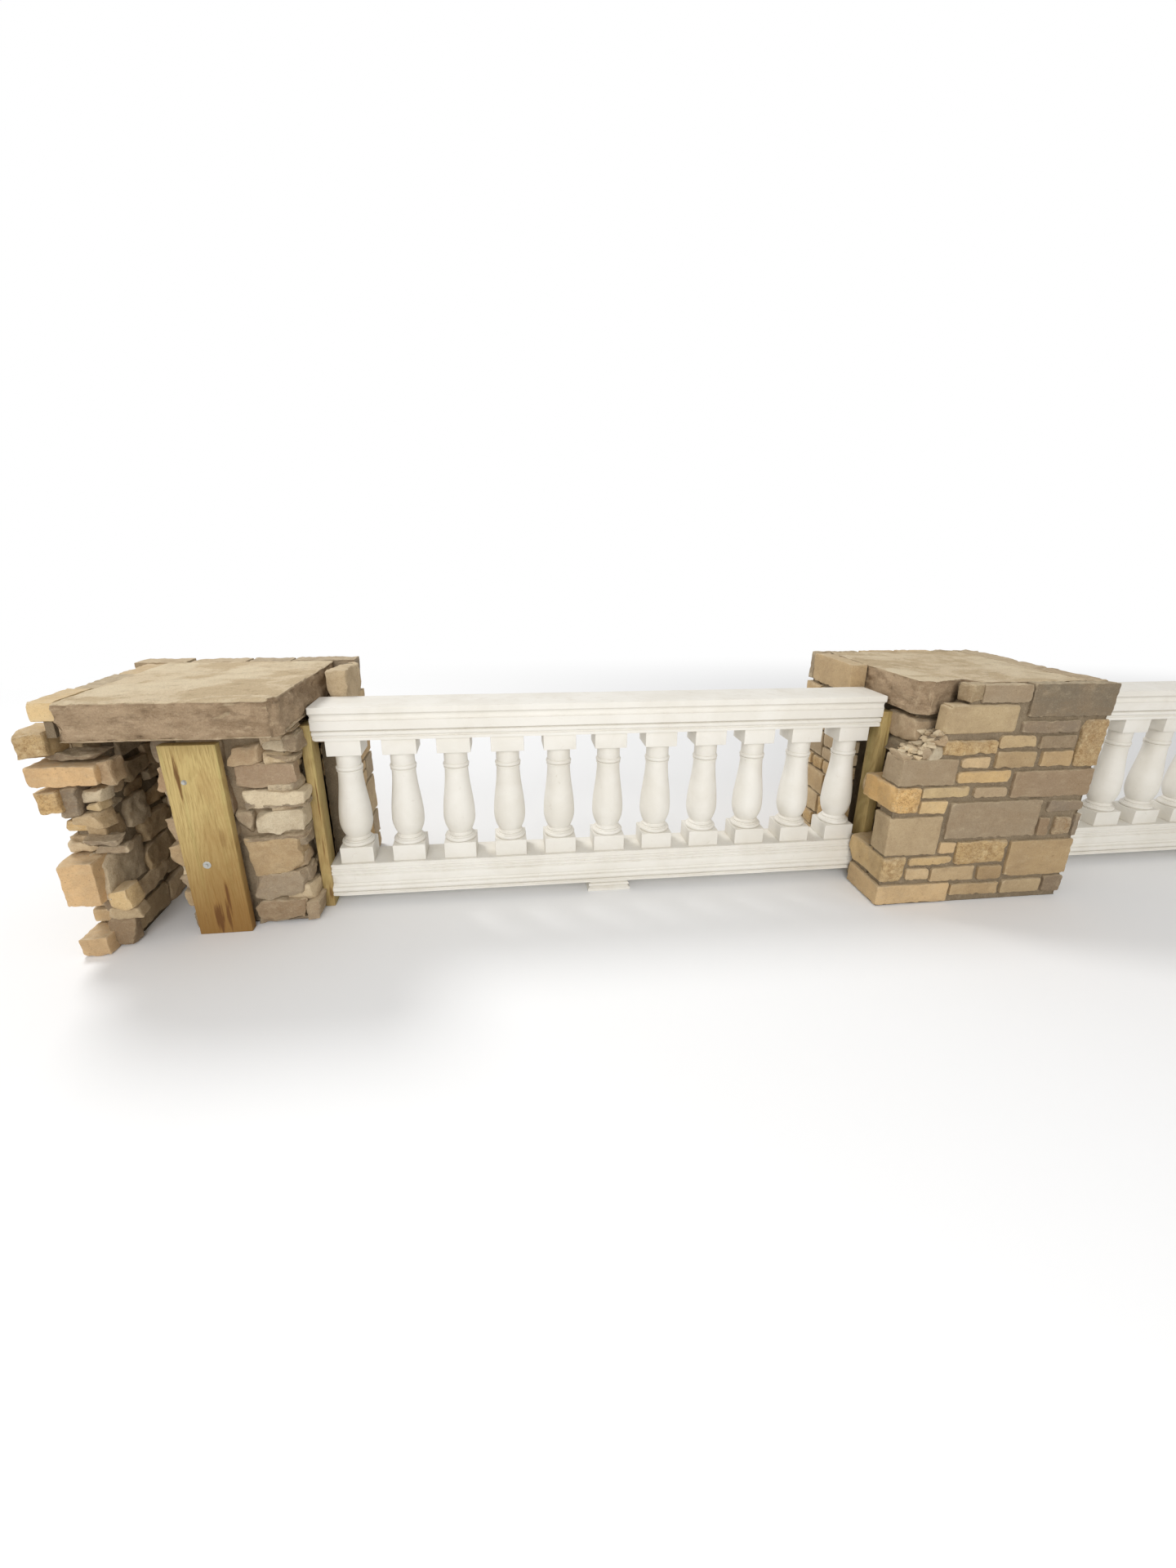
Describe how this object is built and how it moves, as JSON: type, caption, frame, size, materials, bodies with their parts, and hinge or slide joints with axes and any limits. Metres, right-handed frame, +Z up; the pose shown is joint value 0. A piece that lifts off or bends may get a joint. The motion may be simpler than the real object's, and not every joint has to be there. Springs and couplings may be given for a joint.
{
  "type": "stone balustrade",
  "caption": "Balustrade in two bays of turned white balusters between moulded rails, carried by square stone-faced piers; one end pier has lost its front facing.",
  "frame": {"origin": "middle of the middle pier, on the paving", "axes": "+X along the balustrade to the right as seen from its front, +Y away from its front, +Z up"},
  "size_m": [6.7724, 0.847, 0.911],
  "materials": {
    "cast_stone": "matte, cast",
    "facing_stone": "sawn and split limestone in mortar",
    "core_stone": "rough rubble in mortar",
    "slab_stone": "rough, weathered",
    "treated_timber": "sawn, pressure treated"
  },
  "bodies": {
    "root": {"left_pier_core": "core_stone", "left_pier_slab": "slab_stone", "left_pier_quoins": "facing_stone", "left_pier_left_facing": "facing_stone", "left_pier_right_facing": "facing_stone", "left_pier_back_facing": "facing_stone", "shoring_plank": "treated_timber", "bottom_rail_1": "cast_stone", "balusters_1": "cast_stone", "top_rail_1": "cast_stone", "rail_foot_1": "cast_stone", "end_post_left": "treated_timber", "end_post_right": "treated_timber", "mid_pier_core": "core_stone", "mid_pier_slab": "slab_stone", "mid_pier_front_facing": "facing_stone", "mid_pier_left_facing": "facing_stone", "mid_pier_right_facing": "facing_stone", "mid_pier_back_facing": "facing_stone", "bottom_rail_2": "cast_stone", "balusters_2": "cast_stone", "top_rail_2": "cast_stone", "rail_foot_2": "cast_stone", "right_pier_core": "core_stone", "right_pier_slab": "slab_stone", "right_pier_front_facing": "facing_stone", "right_pier_left_facing": "facing_stone", "right_pier_right_facing": "facing_stone", "right_pier_back_facing": "facing_stone"}
  },
  "joints": []
}
